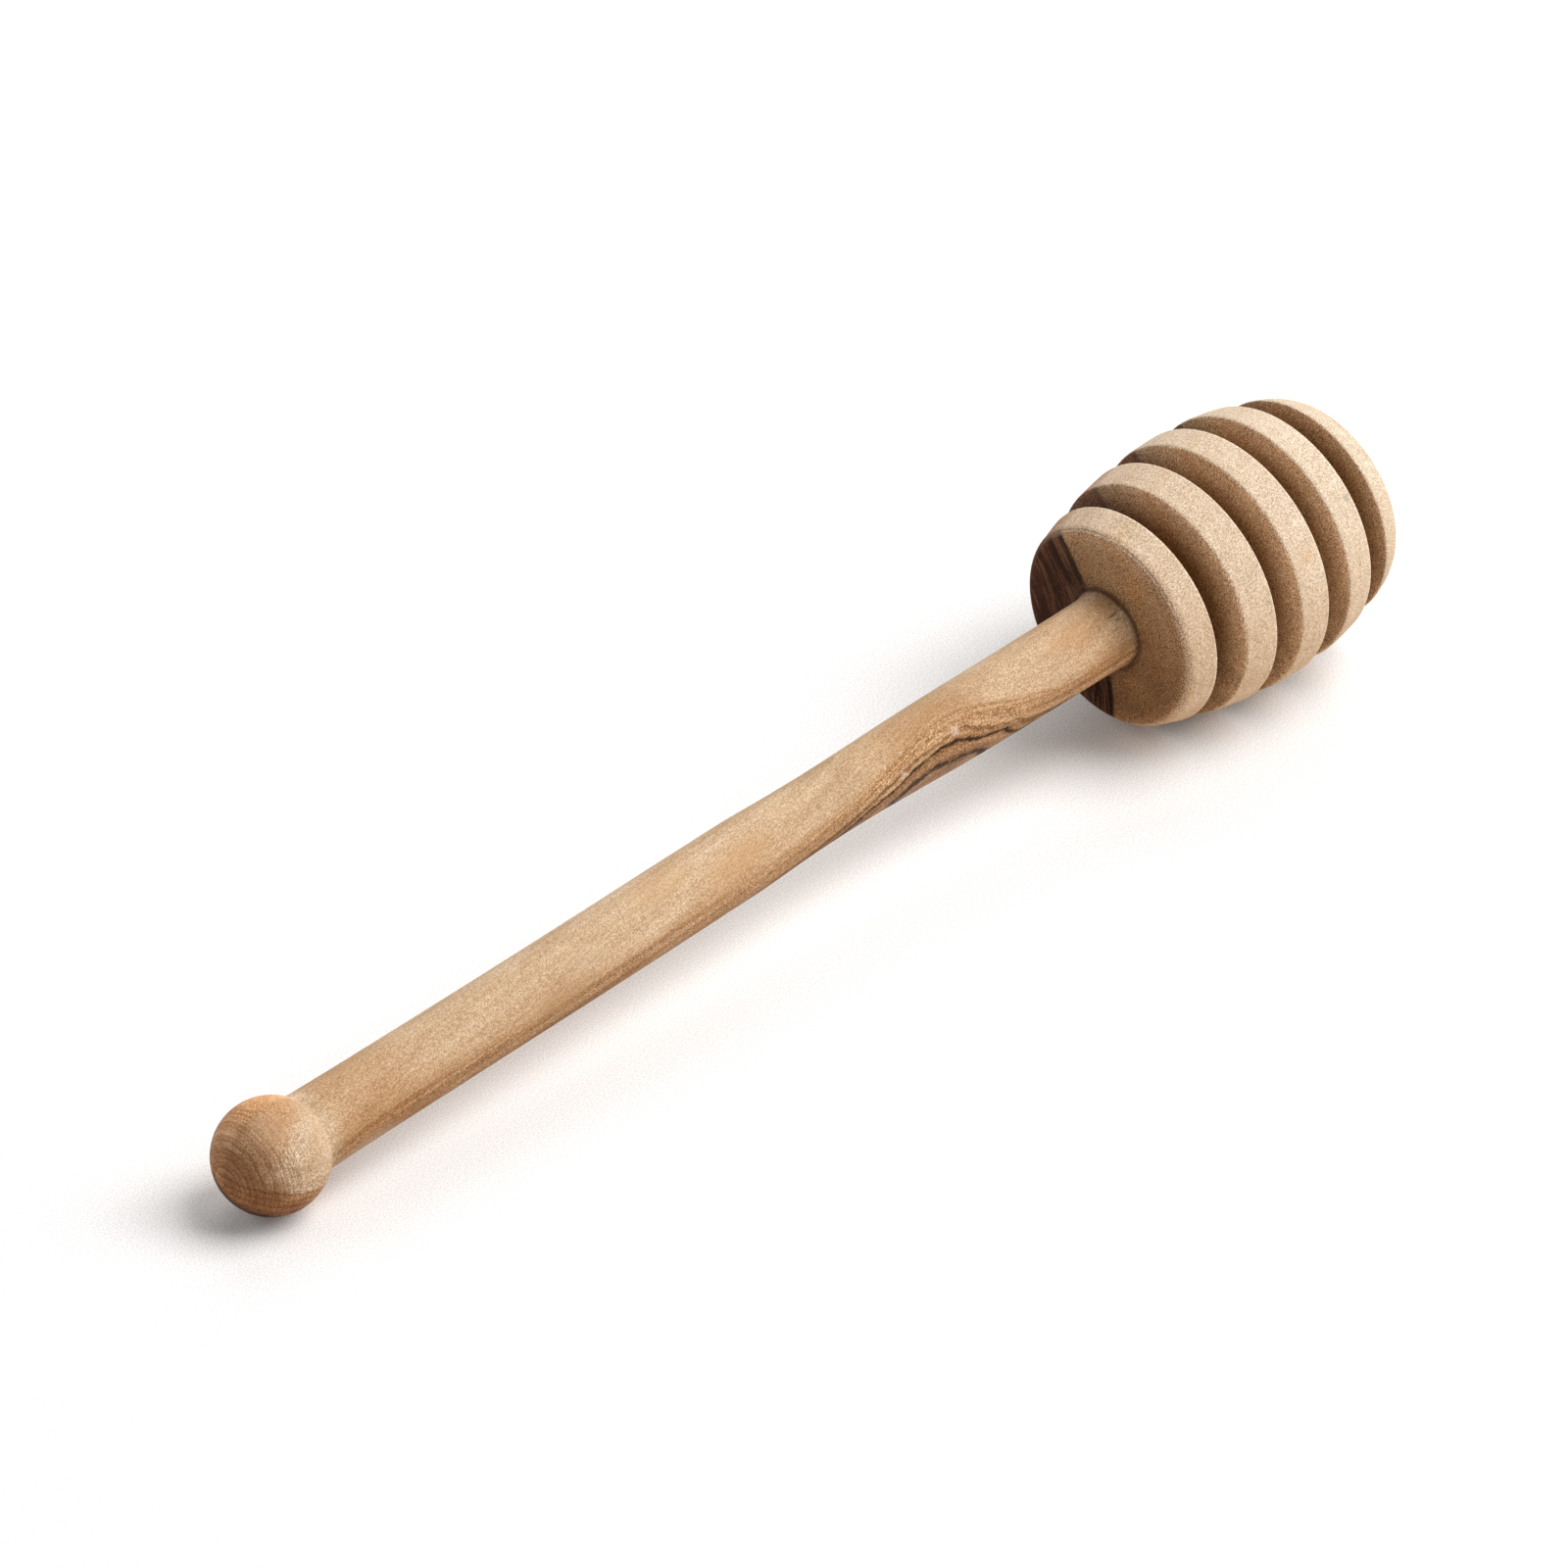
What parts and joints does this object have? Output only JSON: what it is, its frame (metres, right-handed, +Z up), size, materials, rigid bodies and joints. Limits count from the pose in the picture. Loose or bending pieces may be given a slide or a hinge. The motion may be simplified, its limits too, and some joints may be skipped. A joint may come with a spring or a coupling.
{
  "type": "honey dipper",
  "caption": "Turned wooden honey dipper with a slim waisted handle, a ball knob and a grooved barrel-shaped head that holds honey.",
  "frame": {"origin": "on the floor under the middle of the dipper's length, as it lies on its ball knob and its widest disc", "axes": "+X level, from the ball knob to the head; +Z up; the turning axis rises 3.67 degrees towards the head"},
  "size_m": [0.1656, 0.03, 0.0301],
  "materials": {
    "handle_wood": "sanded smooth, unvarnished, honey-beige long grain",
    "head_wood": "sanded, unvarnished, pale sapwood with a dark heartwood sector"
  },
  "bodies": {
    "root": {"handle": "handle_wood", "dipper_head": "head_wood"}
  },
  "joints": []
}
